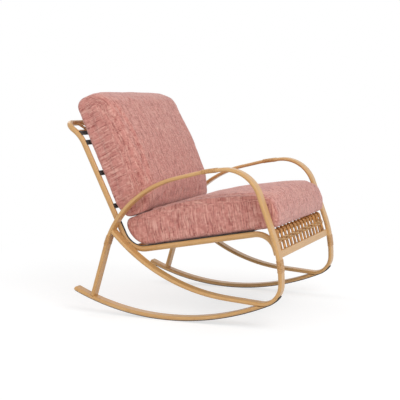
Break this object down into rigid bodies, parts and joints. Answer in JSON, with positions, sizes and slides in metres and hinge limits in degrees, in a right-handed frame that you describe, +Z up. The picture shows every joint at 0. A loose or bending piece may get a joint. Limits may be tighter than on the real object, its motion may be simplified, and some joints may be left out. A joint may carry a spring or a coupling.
{
  "type": "outdoor rocking lounge chair",
  "caption": "Low outdoor lounge rocker: bent flat-oval side loops on curved rockers, L-shaped tube seat with sling and straps, woven front apron and two loose boxed cushions.",
  "frame": {"origin": "on the floor under the middle of the chair's width and depth", "axes": "+Z up; -Y is the front, the way the sitter faces; +X is the sitter's left"},
  "size_m": [0.728, 0.9158, 0.8547],
  "materials": {
    "frame": "satin",
    "binding": "satin",
    "resin_strand": "satin",
    "glide": "satin",
    "end_cap": "satin",
    "webbing": "matte",
    "hardware": "satin",
    "sleeve": "satin",
    "cushion_fabric": "matte"
  },
  "bodies": {
    "chair_frame": {"apron_strands": "resin_strand", "apron_twine": "resin_strand", "back_strap_1": "webbing", "back_strap_2": "webbing", "back_strap_3": "webbing", "back_strap_4": "webbing", "front_bar": "frame", "front_cross_tube": "frame", "joint_bolts": "hardware", "left_arm_wrap": "binding", "left_bow_tube": "frame", "left_edge_strip": "webbing", "left_front_arm_tube": "frame", "left_glide": "glide", "left_leg_wrap": "binding", "left_rear_arm_tube": "frame", "left_rocker": "frame", "left_rocker_cap": "end_cap", "left_seat_rail": "frame", "left_strut": "frame", "left_strut_wrap": "binding", "rear_cross_tube": "frame", "right_arm_wrap": "binding", "right_bow_tube": "frame", "right_edge_strip": "webbing", "right_front_arm_tube": "frame", "right_glide": "glide", "right_leg_wrap": "binding", "right_rear_arm_tube": "frame", "right_rocker": "frame", "right_rocker_cap": "end_cap", "right_seat_rail": "frame", "right_strut": "frame", "right_strut_wrap": "binding", "seat_sling": "webbing", "splice_sleeves": "sleeve", "threaded_inserts": "hardware", "top_panel_strands": "resin_strand", "top_rail": "frame", "upper_back_tube": "frame"},
    "seat_cushion": {"seat_cushion": "cushion_fabric"},
    "back_cushion": {"back_cushion": "cushion_fabric"}
  },
  "joints": [
    {"name": "seat_cushion_lift_out", "type": "slide", "parent": "chair_frame", "child": "seat_cushion", "axis": [0, -0.9839, 0.1787], "range_m": [0, 0.3]},
    {"name": "back_cushion_lift_out", "type": "slide", "parent": "chair_frame", "child": "back_cushion", "axis": [0, 0.4365, 0.8997], "range_m": [0, 0.4]}
  ]
}
